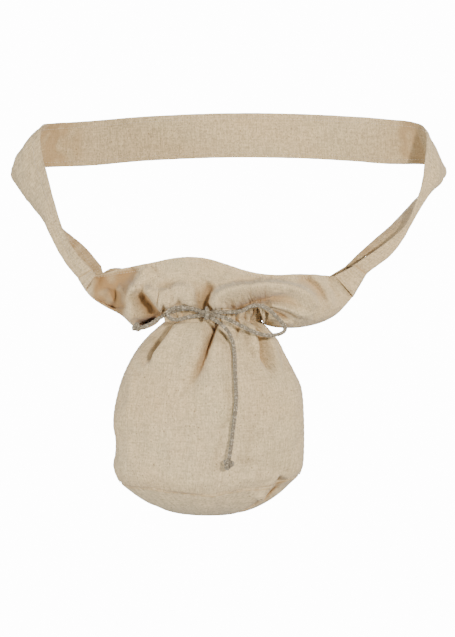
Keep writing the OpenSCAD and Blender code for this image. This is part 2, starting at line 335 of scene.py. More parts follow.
def gather_parts(name, parts, material):
    """Several strands as one object."""
    points, faces, uvs, base = [], [], [], 0
    for p, f, uv in parts:
        points.append(p)
        uvs.append(uv)
        faces += [[i + base for i in face] for face in f]
        base += len(p)
    return make_mesh(name, np.vstack(points), faces, np.vstack(uvs), material)


def braid_parts(path, seed):
    """A round braid of six yarns over a core, along a path."""
    length = run_along(evenly(path, 80))[-1]
    line = evenly(path, max(12, int(length / 0.75)))
    u, v = moving_frame(line)
    run = np.linspace(0, length, len(line))
    pitch, yarn, ring, weave = 15.0, 0.95, 1.2, 0.26
    rng = np.random.default_rng(seed)
    parts = [tube(line, ring, 6)]
    for hand in (1, -1):
        for k in range(3):
            turn = hand * (2 * math.pi * run / pitch) + 2 * math.pi * k / 3 + (hand < 0) * 0.5
            over = np.cos(3 * 2 * math.pi * run / pitch * 2 + math.pi * k + (hand < 0) * math.pi)
            r = (ring + weave * over)[:, None]
            strand = line + r * (np.cos(turn)[:, None] * u + np.sin(turn)[:, None] * v)
            fat = yarn * (1 + 0.07 * waves(run, 0 * run, 9.0, rng.integers(9999)))
            fat[0] = fat[-1] = 0.4
            parts.append(tube(strand, fat, 6))
    return parts


def stitch_parts(line, outward, pitch=3.4, long=2.5, thick=0.33):
    """A row of single stitches along a line, each a small bent stroke of thread."""
    run = run_along(line)
    parts = []
    for s in np.arange(pitch * 0.6, run[-1] - pitch * 0.6, pitch):
        at = np.linspace(s - long / 2, s + long / 2, 5)
        p = np.stack([np.interp(at, run, line[:, k]) for k in range(3)], 1)
        n = np.stack([np.interp(at, run, outward[:, k]) for k in range(3)], 1)
        dip = np.array([-0.45, 0.1, 0.22, 0.1, -0.45])[:, None]
        parts.append(tube(p + n * dip, thick * np.array([0.5, 1, 1.1, 1, 0.5]), 5))
    return parts


def stitched(name, node, rows, *size):
    """The stitches that stand for a node, along rows given as points and the way they face."""
    parts = []
    for line, outward in rows:
        parts += stitch_parts(line, outward, *size)
    return stands_for(gather_parts(name, parts, THREAD), "thread", node)


def stands_for(obj, slot, *nodes):
    """obj takes the place of these CAD nodes, which are hidden; slot is not used."""
    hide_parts(*nodes)
    return obj


# ---------------------------------------------------------------- materials

def shader(name):
    material = bpy.data.materials.new(name)
    material.use_nodes = True
    tree = material.node_tree
    return material, tree, tree.nodes["Principled BSDF"]


def link(tree, a, b):
    tree.links.new(a, b)


def add_node(tree, kind, **inputs):
    """A new shader node with some inputs set; an underscore in a key stands for a space."""
    node = tree.nodes.new("ShaderNode" + kind)
    fill(node, **inputs)
    return node


def fill(node, **inputs):
    for key, value in inputs.items():
        node.inputs[key.replace("_", " ")].default_value = value


def stretched_noise(tree, coords, scale, detail, rough, offset=0.0):
    """Noise in cloth coordinates, stretched by scale = (across, along) waves per metre."""
    place = add_node(tree, "Mapping", Scale=(*scale, 1), Location=(offset, offset * 1.7, offset))
    link(tree, coords, place.inputs["Vector"])
    noise = add_node(tree, "TexNoise", Scale=1.0, Detail=detail, Roughness=rough)
    link(tree, place.outputs["Vector"], noise.inputs["Vector"])
    return noise.outputs["Fac"]


def ramp(tree, value, low, high, to_low=0.0, to_high=1.0):
    """A value carried from the span low to high onto to_low to to_high, held at the ends."""
    node = add_node(tree, "MapRange", From_Min=low, From_Max=high, To_Min=to_low, To_Max=to_high)
    node.clamp = True
    link(tree, value, node.inputs["Value"])
    return node.outputs["Result"]


def tinted(tree, colour, tint, amount):
    """Colour mixed towards a tint by a 0..1 amount that varies over the surface."""
    node = add_node(tree, "Mix")
    node.data_type = "RGBA"
    link(tree, amount, node.inputs["Factor"])
    link(tree, colour, node.inputs[6])
    node.inputs[7].default_value = (*tint, 1)
    return node.outputs[2]


def mottled(tree, coords, colour, tint, scale, low, high, share, detail, rough, offset=0.0):
    """Colour mixed up to share of the way to a tint where a noise rises from low to high."""
    noise = stretched_noise(tree, coords, scale, detail, rough, offset)
    return tinted(tree, colour, tint, ramp(tree, noise, low, high, 0, share))


def math_node(tree, kind, a, b):
    node = add_node(tree, "Math")
    node.operation = kind
    for k, v in enumerate((a, b)):
        if isinstance(v, (int, float)):
            node.inputs[k].default_value = v
        else:
            link(tree, v, node.inputs[k])
    return node.outputs[0]


def threads(tree, coords, per_metre):
    """Height of a plain weave: rounded yarns in both directions."""
    heights = []
    for axis in ("X", "Y"):
        wave = add_node(tree, "TexWave", Scale=per_metre / 3.18, Distortion=1.2, Detail=2.0,
                        Detail_Scale=0.6)
        wave.wave_type = "BANDS"
        wave.bands_direction = axis
        link(tree, coords, wave.inputs["Vector"])
        heights.append(wave.outputs["Fac"])
    return math_node(tree, "ADD", heights[0], heights[1])


def start_cloth(name, base):
    """A new material with its cloth coordinates and its plain colour."""
    material, tree, out = shader(name)
    uv = add_node(tree, "UVMap")
    uv.uv_map = "cloth"
    rgb = add_node(tree, "RGB")
    rgb.outputs[0].default_value = (*base, 1)
    return material, tree, out, uv.outputs["UV"], rgb.outputs[0]


def times(colour, red, green, blue):
    """The colour with each channel scaled."""
    return colour[0] * red, colour[1] * green, colour[2] * blue


def roughened(tree, out, height, strength, distance):
    """Bump from a height, in metres at full strength."""
    bump = add_node(tree, "Bump", Strength=strength, Distance=distance)
    link(tree, height, bump.inputs["Height"])
    link(tree, bump.outputs["Normal"], out.inputs["Normal"])


def cotton(name, base, streak):
    """Unbleached plain-weave cotton with slubs, seed specks and painted shade: a warmer, darker tint in
    the folds.
    """
    material, tree, out, coords, colour = start_cloth(name, base)
    space = add_node(tree, "TexCoord").outputs["Object"]
    grey, warm = times(base, 0.88, 0.95, 0.93), times(base, 1.07, 0.95, 0.80)
    colour = mottled(tree, coords, colour, grey, (16, 16), 0.42, 0.68, 0.75, 4, 0.6)
    colour = mottled(tree, coords, colour, warm, (9, 12), 0.45, 0.7, 0.55, 3, 0.5, 3.1)
    slubs = (((640, 45), 0.8), ((45, 640), 0.5), ((540, 400), 0.9), ((210, 170), 0.35))
    darker, lighter = times(base, 0.62, 0.62, 0.62), times(base, 1.32, 1.32, 1.32)
    for k, (scale, share) in enumerate(slubs):
        lines = stretched_noise(tree, coords, scale, 3, 0.7, 5.0 + k)
        amount = streak * share
        colour = tinted(tree, colour, darker, ramp(tree, lines, 0.50, 0.72, 0, amount))
        colour = tinted(tree, colour, lighter, ramp(tree, lines, 0.48, 0.30, 0, amount * 0.9))
    specks = times(base, 0.38, 0.34, 0.30)
    for size, offset in ((650, 9.0), (400, 14.0)):
        colour = mottled(tree, coords, colour, specks, (size, size * 0.8), 0.67, 0.74, 0.8, 1.5,
                         0.5, offset)
    # Painted shade: the fold_shade attribute tints the cloth towards a warm dark brown in folds and
    # shaded hollows.
    folds = add_node(tree, "Attribute")
    folds.attribute_name = "fold_shade"
    colour = tinted(tree, colour, times(base, 0.60, 0.46, 0.32),
                    ramp(tree, folds.outputs["Fac"], 0.0, DEEPEST_SHADE))
    link(tree, colour, out.inputs["Base Color"])
    rough = stretched_noise(tree, coords, (300, 300), 2, 0.5, 2.0)
    link(tree, ramp(tree, rough, 0.3, 0.7, 0.82, 0.95), out.inputs["Roughness"])
    fill(out, Sheen_Weight=0.15, Specular_IOR_Level=0.2)
    weave = threads(tree, coords, 1100)
    slub = stretched_noise(tree, coords, (500, 60), 3, 0.6, 7.0)
    crumple = stretched_noise(tree, space, (55, 55), 3, 0.55, 1.0)
    height = math_node(tree, "ADD", math_node(tree, "MULTIPLY", weave, 0.16),
                       math_node(tree, "MULTIPLY", slub, 0.5))
    height = math_node(tree, "ADD", height, math_node(tree, "MULTIPLY", crumple, 2.2))
    roughened(tree, out, height, 0.55, 0.0006)
    return material


def yarn_material(name, base, fleck):
    """Cotton yarn with fine darker fibres and paler flecks."""
    material, tree, out, coords, colour = start_cloth(name, base)
    fibre = stretched_noise(tree, coords, (1500, 260), 3, 0.6)
    colour = tinted(tree, colour, times(base, 0.62, 0.62, 0.62),
                    ramp(tree, fibre, 0.45, 0.7, 0, 0.8))
    colour = mottled(tree, coords, colour, fleck, (500, 330), 0.52, 0.64, 0.9, 2, 0.5, 4.0)
    link(tree, colour, out.inputs["Base Color"])
    link(tree, ramp(tree, fibre, 0.3, 0.7, 0.85, 0.97), out.inputs["Roughness"])
    fill(out, Sheen_Weight=0.2)
    roughened(tree, out, fibre, 0.6, 0.0003)
    return material


DEEPEST_SHADE = 1.6             # fold_shade at which the cloth is fully its warm dark tint of painted shade
BODY_SHADE = 1.3                # the most that the body and base take
CANVAS = cotton("canvas_cloth", (0.53, 0.39, 0.215), streak=1.05)
STRAP_CLOTH = cotton("strap_cloth", (0.525, 0.38, 0.205), streak=1.25)
THREAD = yarn_material("ecru_thread", (0.58, 0.46, 0.30), (0.7, 0.6, 0.45))
CORD = yarn_material("braided_cord", (0.165, 0.127, 0.078), (0.47, 0.385, 0.27))


# ---------------------------------------------------------------- the body

NECK_X, NECK_W, NECK_D = 5.0, 53.0, 23.0     # the gathered neck's middle, half width, half depth
NECK_FLARE = 4.0                             # how much the half width grows across the casing
CASING_LOW, CASING_TOP = 212.0, 226.0        # heights of the casing's two edges
CORD_Z = 221.0                               # height of the drawstring in the casing
LOWEST = 0.6                                 # height of the base's middle, half its cloth
GATHER_SEED = {FRONT: 1.0, REAR: 3.7}

# Outline of the filled body in the front view, as (height, x), from the base seam to the neck.
LEFT_EDGE = [(24, -84), (34, -96), (53, -103.5), (68, -101.5), (83, -101.2), (100, -103.7),
             (122, -101.6), (151, -93.7), (177, -80.9), (196, -66), (212, -48)]
RIGHT_EDGE = [(24, 82), (38, 96), (51, 102), (69, 104), (105, 104), (138, 101.5), (157, 93.5),
              (176, 83.5), (194, 74), (212, 58)]
# Half depth of the body at heights.
DEPTH = [(26, 51), (45, 58), (80, 62), (115, 61), (150, 52), (185, 37), (212, 23)]
# Height of the base seam across the front, as (x, height).
BASE_SEAM = [(-104, 36), (-84, 34), (-60, 32.5), (-35, 29.5), (-7, 27.5), (8, 25.5), (24, 30),
             (42, 32), (60, 33), (76, 37), (90, 43), (104, 46)]


def side_drift(z):
    """The neck is a little off the body's middle, and its outline comes in to it."""
    return level(LEFT_EDGE, z), level(RIGHT_EDGE, z), level(DEPTH, z)


def ruffle(place, seed, count=19.0):
    """Uneven gathers along the neck, place from 0 to 1: rounded puffs between tight creases."""
    wander = 0.75 * np.sin(2 * math.pi * 1.3 * place + seed) + 0.5 * np.sin(
        2 * math.pi * 3.1 * place + 2.2 * seed)
    phase = count * place + wander
    puffs = np.abs(np.sin(math.pi * phase)) ** 0.75
    size = 0.75 + 0.35 * np.sin(2 * math.pi * 2.3 * place + seed * 1.7)
    return (puffs - 0.6) * size


def frill(place, seed):
    """How far the seam between casing and mouth wanders up and down with the gathers."""
    return 2.4 * ruffle(place + 0.01, seed) + 1.2 * np.sin(23 * place + seed)


def bunching(place, seed):
    """How tightly the cloth is bunched along the cord: most at the right of the bow."""
    right = smooth((place - 0.46) / 0.08)
    left = np.exp(-((place - 0.2) / 0.09) ** 2)
    front = 0.4 + 1.25 * right + 0.7 * left
    return front if seed < 2 else 0.9 + 0 * place


def gathers(place, z, seed, reach=30.0):
    """Depth of the gathers near the neck: fine at the cord, fewer and longer away from it."""
    away = np.maximum(np.abs(z - CORD_Z) - 5, 0)
    fine = 4.4 * ruffle(place, seed) * np.exp(-(away / (0.5 * reach)) ** 1.3)
    broad = 3.4 * ruffle(place, seed + 1.3, 8.0) * np.exp(-(away / reach) ** 1.5) \
        * smooth(away / 9.0)
    return (fine + broad) * bunching(place, seed)


def off_the_sides(turn):
    """1 over most of the front or rear, falling to 0 where they meet at the sides."""
    return smooth(np.sin(turn) / 0.35)


def neck_share(x):
    """1 over the gathered neck, falling to 0 out in the wings of the mouth."""
    return smooth((NECK_W + 12 - np.abs(x - NECK_X)) / 22)


def neck_depth(x):
    """Depth of the neck's cloth at x, before its gathers."""
    inner = np.clip((x - NECK_X) / (NECK_W + NECK_FLARE), -1, 1)
    return NECK_D * (1 - inner ** 2) ** 0.3


def front_body_folds(x, z):
    """Folds that run down the front of the body from the neck."""
    return creases(
        x, z,
        ([(11, 216), (8, 203), (1, 186), (-7, 168), (-14, 150), (-20, 136)], -17, 6, 9, (0, 0.55), 1.5),
        ([(-4, 176), (-14, 154), (-22, 138), (-29, 118)], -7, 9, 11, (0.3, 0.6)),
        ([(18, 214), (14, 200), (8, 183), (-2, 162)], 6.0, 5, 4, (0, 0.6), 1.7, -4),
        ([(-5, 214), (-13, 190), (-25, 165), (-38, 138)], 5, 9, 9, (0, 0.7)),
        ([(-33, 214), (-43, 200), (-56, 182), (-71, 162)], -15, 3.0, 15, (0, 0.45), 1.4),
        ([(-26, 214), (-37, 197), (-50, 178), (-64, 158)], 7, 9, 4, (0, 0.35), 1.7, -5),
        ([(-78, 171), (-85, 125), (-89, 96)], 1.8, 3.5, 8, (0.3, 0.4)),
        ([(15, 217), (17, 200), (21, 186)], -7.5, 2.6, 3.4, (0, 0.5)),
        ([(23, 215), (26, 200), (27, 188)], 4.0, 3, 3, (0, 0.7), 1.7, -1.5),
        ([(31, 217), (32, 200), (33, 189)], -7.0, 3, 2.6, (0, 0.6)),
        ([(38, 215), (41, 202), (46, 182)], 4.4, 4, 4, (0, 0.7), 1.7, 1.5),
        ([(46, 217), (51, 200), (57, 184), (64, 168), (73, 150)], -14, 12, 4.0, (0, 0.35), 1.5),
        ([(42, 214), (46, 198), (51, 182), (58, 166)], 5.0, 3.5, 6, (0, 0.5), 1.7, 4.5),
        ([(60, 208), (69, 186), (76, 166), (79, 148)], 6.5, 5, 6, (0, 0.45)),
        ([(-60, 196), (-72, 180), (-84, 160)], 2.4, 6, 7, (0.2, 0.5)))


def body_painted_shade(x, z):
    """Painted shade, warm and dark, in the three deep folds of the front of the body."""
    return creases(
        x, z,
        ([(-33, 214), (-43, 200), (-56, 182), (-70, 163)], 0.55, 2.0, 13, (0, 0.5), 1.3),
        ([(11, 216), (8, 203), (1, 186), (-7, 168), (-14, 150)], 0.45, 4, 6, (0, 0.6), 1.5),
        ([(48, 214), (52, 200), (58, 184), (66, 168)], 0.4, 9, 3, (0, 0.4), 1.5))[..., 1]


def rear_body_folds(x, z):
    """Folds down the back of the body."""
    return creases(
        x, z,
        ([(-8, 214), (-12, 190), (-20, 160), (-24, 135)], -9, 6, 7, (0, 0.7), 1.5),
        ([(30, 214), (38, 188), (50, 162), (56, 145)], -8, 6, 5, (0, 0.7), 1.5),
        ([(10, 214), (12, 186), (10, 158)], 4.5, 9, 9, (0, 0.7), 1.7, 3),
        ([(-32, 214), (-44, 192), (-60, 172)], -7, 5, 7, (0, 0.6), 1.5),
        ([(50, 214), (62, 190), (74, 170)], 4, 6, 6, (0, 0.6)))


def body_point(turn, z, side):
    """Point of the filled body: turn from pi (left seam) to 0 (right seam), side -1 front, 1 rear."""
    left, right, deep = side_drift(z)
    mid, half = (left + right) / 2, (right - left) / 2
    x = mid + half * np.cos(turn)
    y = side * deep * np.abs(np.sin(turn)) ** (0.92 - 0.32 * smooth((z - 180) / 32))
    out = np.stack([np.cos(turn) / half, side * np.sin(turn) / deep, np.zeros_like(turn)], -1)
    out /= np.linalg.norm(out, axis=-1, keepdims=True)
    return np.stack([x, y, z + 0 * turn], -1), out


def base_line(turn, side):
    """Height of the base seam round the body; it lifts in a tuck at the front's right corner."""
    x = 94 * np.cos(turn)
    if side < 0:
        return level(BASE_SEAM, x) + 0.5 * np.sin(x / 6.1) * np.sin(turn)
    wave = 1.4 * np.sin(x / 17.0 + 2.0) + 0.8 * np.sin(x / 7.3)
    ends = 36 + 10 * smooth((x + 94) / 188)
    return 29 + wave * np.sin(turn) + (ends - 29) * (1 - np.sin(turn)) ** 2


def body_grid(side):
    """The body's front or rear cloth, from the base seam to the casing, and its shade."""
    place, s = unit_grid(230, 190)
    turn = math.pi * (1 - place)
    foot = base_line(turn, side)
    z = foot + (CASING_LOW - foot) * s
    p, out = body_point(turn, z, side)
    fade = off_the_sides(turn)
    x, z = p[..., 0], p[..., 2]
    folds = softened(front_body_folds(x, z) if side < 0 else rear_body_folds(x, z))
    seed = GATHER_SEED[side]
    soft = 1.5 * waves(x, z, 75, 11 + side) + 0.45 * waves(x, z, 26, 15 + side)
    soft *= smooth((CASING_LOW - z) / 40)
    tuck = -1.6 * np.exp(-((z - foot) / 3.2) ** 1.3) - 0.7 * np.abs(
        np.sin(x / 2.9)) * np.exp(-((z - foot) / 7.0) ** 2)
    tight = gathers(place, z, seed) * neck_share(x)
    move = (folds[..., 1] + tight + soft) * fade + tuck
    slide = folds * np.array([1, 0, 1]) * fade[..., None] * smooth((CASING_LOW - z) / 6)[..., None]
    corner = corner_tuck(x, p[..., 1], z)
    move = move + corner[..., 1]
    slide = slide + corner * np.array([1, 0, 1])
    p = p + out * move[..., None] + slide
    shade = fold_shade((folds[..., 1] + tight) * fade + 1.6 * corner[..., 1], 18, 22, 9.0)
    shade = shade + 1.1 * np.exp(-((z - foot) / 1.0) ** 2)
    # Painted shade in the bottom of the corner's pinch and in the front's deep folds.
    shade = shade + (corner_pinch_shade(x, z) + body_painted_shade(x, z)) * (side < 0)
    return p, np.clip(shade, 0, BODY_SHADE)


def corner_tuck(x, y, z):
    """The pinched tuck at the body's lower right corner; it dies out towards the side seam."""
    pinch = [(60, 17), (68, 27), (75, 36), (82, 47)], -13, 2.6, 9, (0.1, 0.15), 1.5
    ridge = [(54, 19), (63, 30), (71, 40), (79, 51)], 4.0, 7, 4, (0.1, 0.3), 1.7
    return creases(x, z, pinch, ridge) * smooth((-y - 9) / 22)[..., None]


def corner_pinch_shade(x, z):
    """Painted shade: 1 in the dark bottom of the corner's pinch."""
    path = [(60, 17), (68, 27), (75, 36), (82, 46)]
    return fold(x, z, path, 1.0, 1.7, 2.6, (0.05, 0.05), 1.4)[..., 1]


def build_body():
    made = []
    for side, node in ((FRONT, "front_panel"), (REAR, "rear_panel")):
        name = node + "_cloth"
        grid, shade = body_grid(side)
        grid = settle(name, grid, edge_hold(*shade.shape, 0.15), 0.008, 4)
        obj = sheet(name, grid[::-side], CANVAS, shade[::-side])
        made.append(stands_for(obj, "canvas", node))
    return made


def side_line(turn):
    """The line where front and rear cloth meet, up the left (turn pi) or right (0), and outwards."""
    turn = np.full(120, turn)
    z = np.linspace(float(base_line(turn[:1], FRONT)[0]), CASING_LOW, 120)
    return body_point(turn, z, FRONT)


def build_side_seams():
    """A double welt and a row of stitches up each side of the body."""
    for turn, node in ((math.pi, "left_side_seam"), (0.0, "right_side_seam")):
        line, out = side_line(turn)
        pucker = 0.35 * np.abs(np.sin(line[:, 2] / 2.3))[:, None]
        slim = 0.2 + 0.65 * smooth(np.linspace(0, 1, len(line)) / 0.06)
        parts = [tube(line + out * (0.2 + pucker) + np.array([0, dy, 0]), slim, 8)
                 for dy in (-0.7, 0.7)]
        parts += stitch_parts(line + np.array([0, -2.6, 0]), out * 1.0)
        welt = gather_parts(node + "_welt", parts, CANVAS)
        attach(stands_for(welt, "canvas", node), "pouch")


def base_ring(side):
    """Half of the base's outline, a little inside the body's cloth."""
    turn = np.linspace(math.pi, 0, 160)
    p, out = body_point(turn, base_line(turn, side), side)
    tuck = corner_tuck(*p.T)[:, 1:2]
    return p + out * (tuck - 1.6)


def base_grid(ring):
    """The bulging base: rings that shrink from its outline, q = 1, to its middle, q = 0."""
    q = np.linspace(1, 0.012, 60)[None, :]
    grid = ring[:, None] * q[..., None]
    x, y = grid[..., 0], grid[..., 1]
    sag = 0.9 * waves(x, y, 46, 21) * (1 - q ** 6) * smooth(q * 3)
    grid[..., 2] = ring[:, None, 2] * q ** 2.5 + np.maximum(sag, -0.2) * (q > 0.3)
    grid[..., 2] = np.maximum(grid[..., 2], LOWEST)
    pucker = 0.8 * np.abs(np.sin(np.arange(len(ring)) * 0.55))[:, None]
    grid[..., 2] -= pucker * np.exp(-((1 - q) / 0.06) ** 2)
    tuck = smooth((1 - q) / 0.15) * corner_tuck(*np.moveaxis(grid, -1, 0))[..., 1]
    facing = normals(grid)
    facing *= np.sign((facing * (grid - np.array([0, 0, 34.0]))).sum(-1, keepdims=True))
    grid += facing * tuck[..., None]
    grid[..., 2] = np.maximum(grid[..., 2], LOWEST)
    # Painted shade in the bottom of the corner's pinch, on the front half only.
    line = corner_pinch_shade(grid[..., 0], grid[..., 2]) * (grid[..., 1] < 0)
    edge = 1.1 * np.exp(-((1 - q) / 0.015) ** 2)
    return grid, np.clip(fold_shade(tuck, 9, 9) + edge + line, 0, BODY_SHADE)


def build_base():
    """The bulging round base, and the seam that joins it to the body."""
    ring = np.vstack([base_ring(FRONT), base_ring(REAR)[::-1][1:-1]])
    ring = np.vstack([ring, ring[:1]])
    grid, shade = base_grid(ring)
    base = sheet("base_panel_cloth", grid[::-1], CANVAS, shade[::-1])
    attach(stands_for(base, "canvas", "base_panel"), "pouch")
    welt = [tube(ring + np.array([0, 0, dz]), 0.6, 8) for dz in (-0.5, 0.5)]
    seam = gather_parts("base_seam_welt", welt, CANVAS)
    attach(stands_for(seam, "canvas", "base_seam"), "pouch")


# ---------------------------------------------------------------- the gathered neck

def neck_point(place, z, side):
    """Point on the neck's cloth before its gathers."""
    turn = math.pi * (1 - place)
    x = NECK_X + (NECK_W + NECK_FLARE * smooth((z - CASING_LOW) / 18)) * np.cos(turn)
    y = side * NECK_D * np.abs(np.sin(turn)) ** 0.6
    return np.stack(np.broadcast_arrays(x, y, z), -1)


def casing_grid(side):
    """The gathered cloth of the casing's front or rear, and its shade."""
    place, s = unit_grid(340, 34)
    turn = math.pi * (1 - place)
    seed = GATHER_SEED[side]
    fade = off_the_sides(turn)
    z = CASING_LOW + (CASING_TOP + frill(place, seed) * fade - CASING_LOW) * s
    p = neck_point(place, z, side)
    out = np.stack([np.cos(turn) / NECK_W * (1 - s), side * np.sin(turn) / NECK_D, 0 * turn], -1)
    out /= np.maximum(np.linalg.norm(out, axis=-1, keepdims=True), 1e-6)
    x = p[..., 0]
    body = front_body_folds if side < 0 else rear_body_folds
    mouth = front_mouth_folds if side < 0 else rear_mouth_folds
    from_below = body(x, 0 * z + CASING_LOW)[..., 1] * (1 - s) ** 2
    from_above = mouth(x, 0 * z + CASING_TOP)[..., 1] * s ** 2 * neck_share(x)
    swell = 1.6 * np.sin(math.pi * s) ** 0.8 * (0.2 + 1.4 * ruffle(place, seed))
    pinch = -2.2 * np.exp(-((s - 0.5) / 0.2) ** 2)
    tight = gathers(place, z, seed) * neck_share(x)
    move = (swell + pinch + tight + from_below + from_above) * fade
    lean = 1.6 * np.sin(math.pi * s) * np.sin(place * 31 + seed * 2)
    p = p + out * move[..., None]
    p[..., 0] += lean * fade
    shade = np.clip(-ruffle(place, seed) * 1.1, 0, 0.6) * fade
    return p, shade


def casing_lining(side):
    """Inner wall of the drawstring's channel, so that the cord runs between two cloths."""
    place, s = unit_grid(200, 22)
    p = neck_point(place, CASING_LOW - 0.5 + (CASING_TOP - CASING_LOW + 1.5) * s, side)
    inwards = np.sin(math.pi * (0.06 + 0.88 * s)) ** 0.45
    p[..., 0] -= NECK_X
    p[..., 0] *= 1 - 0.11 * inwards
    p[..., 1] *= 1 - (0.50 + 0.05 * ruffle(place, 2.0 + side)) * inwards
    p[..., 0] += NECK_X
    return p


def build_casing(side):
    """Cloth, stitches and inner wall of the casing's front or rear."""
    node = "front_casing" if side < 0 else "rear_casing"
    grid, shade = (a[::-side] for a in casing_grid(side))
    cloth = sheet(node + "_cloth", grid, CANVAS, shade, 0.9)
    up = normals(grid)
    rows = [(grid[2:-2, k], up[2:-2, k]) for k in (1, -2)]
    stitches = stitched(node + "_stitches", node + "_stitching", rows, 3.6, 2.2, 0.24)
    wall = casing_lining(side)[::-side]
    # The inner wall takes painted shade all over, 0.6 of the warm dark tint.
    inner = sheet(node + "_lining", wall, CANVAS, np.full(wall.shape[:2], 0.6), 0.8)
    return [stands_for(cloth, "canvas", node), stitches, stands_for(inner, "canvas")]


# ---------------------------------------------------------------- the flared mouth

# Lower boundary of the mouth in the front view, from the left tab by the neck to the right tab.
LOWER = [(-136, 247), (-127, 238), (-113, 229), (-96, 220), (-84, 209), (-76, 204), (-66, 206),
         (-57, 211), (-52, 218), (-49, 226), (-36, 226), (-16, 226), (8, 226), (32, 226), (50, 226),
         (59, 225), (60, 217), (62, 210), (72, 207), (86, 206), (100, 206.5), (116, 209.5),
         (129, 214), (141, 221), (150, 230), (159, 240)]
# Rim of the front panel, from the left tab to the right tab.
RIM = [(-124, 263), (-112, 266), (-94, 271), (-76, 274), (-58, 277.5), (-40, 281.3), (-20, 283),
       (0, 281), (20, 275), (38, 269), (56, 265), (76, 263.5), (98, 264.5), (118, 264), (139, 262)]


def tent_shadow(x, z):
    """Painted shadow: the brown triangle that the tent's hollow shows, from its apex down to the cord.
    """
    down = (249.5 - z) / 30
    left, right = -72 - 4 * down, -70.5 + 22 * down
    inside = smooth((x - left) / 7) * smooth((right - x) / 2.5 + 0.3)
    return inside * smooth(down / 0.12) * (0.55 + 0.45 * smooth((x - left) / (right - left + 1)))


def roll_underside_shade(x, z):
    """Painted shade on the warm underside of the big roll at the right of the mouth."""
    path = [(14, 232), (24, 236), (40, 241), (62, 243), (84, 241), (102, 233)]
    return fold(x, z, path, 1.0, 4.0, 6.0, (0.1, 0.3), 2.0)[..., 1]


def front_mouth_folds(x, z):
    """The folds of the front of the mouth: a tent at the left, a broad roll at the right."""
    return creases(
        x, z,
        ([(-72, 250), (-78, 241), (-82, 230), (-84, 216)], 9, 7, 14, (0.2, 0.0), 1.6, -1.5),
        ([(-69, 250), (-62, 242), (-54, 232), (-47, 222)], 13.0, 13, 2.6, (0.25, 0.0), 1.5, -3.0),
        ([(-71, 249), (-69, 239), (-66, 231), (-62, 219)], -17, 9.5, 14.0, (0.35, 0.0), 2.6),
        ([(-84, 209), (-70, 211), (-54, 213)], -26, 4.6, 5.5, (0.3, 0.15), 3.0),
        ([(-64, 273), (-74, 258), (-83, 242), (-85, 230)], 5.5, 16, 5, (0.1, 0.2), 1.6, -2),
        ([(-80, 276), (-92, 258), (-99, 242), (-98, 224)], -16, 10, 24, (0.1, 0.1), 2.0),
        ([(-112, 250), (-109, 242), (-104, 231)], 8.0, 4, 5, (0.3, 0.3), 1.6, 1),
        ([(-101, 249), (-95, 247), (-91, 240), (-92, 228)], 9.0, 4, 5, (0.2, 0.2), 1.6, 1),
        ([(-124, 256), (-112, 259), (-100, 258)], -4, 7, 9, (0.3, 0.4)),
        ([(-70, 247), (-58, 244), (-44, 245), (-31, 249), (-22, 246), (-17.5, 237), (-15.5, 226)], 12,
         4.5, 17, (0.1, 0.0), 2.0, 1.0),
        ([(-34, 236), (-30, 232), (-26, 226)], -6, 4.5, 5, (0.3, 0.0)),
        ([(-12.5, 250), (-12.5, 240), (-12, 226)], -5, 3.0, 3.4, (0.4, 0), 1.5),
        ([(-7, 252), (-7.5, 240), (-7, 226)], 5.0, 3.6, 5, (0.5, 0), 1.7),
        ([(6, 256), (1, 244), (-4, 228)], -12, 7, 10, (0.4, 0), 1.8),
        ([(-10, 277), (8, 267), (20, 257)], -4.0, 15, 10, (0.3, 0.3)),
        ([(8, 228), (8, 237), (14, 243), (29, 248), (47, 250), (62, 251), (82, 250), (98, 246),
         (109, 239), (117, 230), (122, 222)], 19, 5.0, 11, (0.0, 0.2), 2.2, 1.5),
        ([(24, 224), (34, 229), (47, 234), (60, 237), (76, 238), (92, 237), (106, 232)], -14.0, 3.5, 5.5,
         (0.0, 0.7), 1.6),
        ([(40, 224), (50, 229), (65, 231), (81, 229.5), (100, 222), (116, 214)], 11, 4.0, 4.5,
         (0.1, 0.25), 1.8, -1.5),
        ([(62, 228), (70, 226), (80, 220), (94, 213)], -10, 2.8, 3.8, (0.1, 0.5), 1.4),
        ([(66, 220), (80, 214.5), (94, 209.5)], 5.5, 2.6, 3, (0.2, 0.3), 1.7, -1),
        ([(92, 263), (108, 256), (121, 245), (130, 234)], -9, 8, 6, (0.2, 0.3)),
        ([(108, 264), (122, 254), (131, 240), (132, 224)], 5.0, 6, 5, (0.2, 0.2)),
        ([(126, 258), (140, 244), (148, 236)], -5.0, 5, 7, (0.3, 0.3)))


def rear_mouth_folds(x, z):
    """The calmer folds of the rear of the mouth."""
    return creases(
        x, z,
        ([(-30, 230), (-46, 244), (-72, 252), (-98, 250)], 7, 7, 9, (0.05, 0.4)),
        ([(-36, 229), (-58, 236), (-80, 238), (-98, 232)], -7.5, 4, 5, (0.05, 0.3)),
        ([(0, 230), (2, 250), (-4, 268)], -6, 8, 6, (0.05, 0.5)),
        ([(24, 230), (36, 246), (60, 254), (90, 254), (116, 244)], 8.5, 8, 9, (0.05, 0.3), 1.7, -2),
        ([(44, 229), (66, 238), (92, 238), (112, 228)], -9, 4.5, 4.5, (0.05, 0.3)),
        ([(14, 230), (16, 246), (22, 262)], 4, 6, 6, (0.05, 0.5)))


def along_neck(x):
    """Place along the neck, 0 at its left and 1 at its right, for a place in the front view."""
    return 1 - np.arccos(np.clip((x - NECK_X) / (NECK_W + NECK_FLARE), -1, 1)) / math.pi


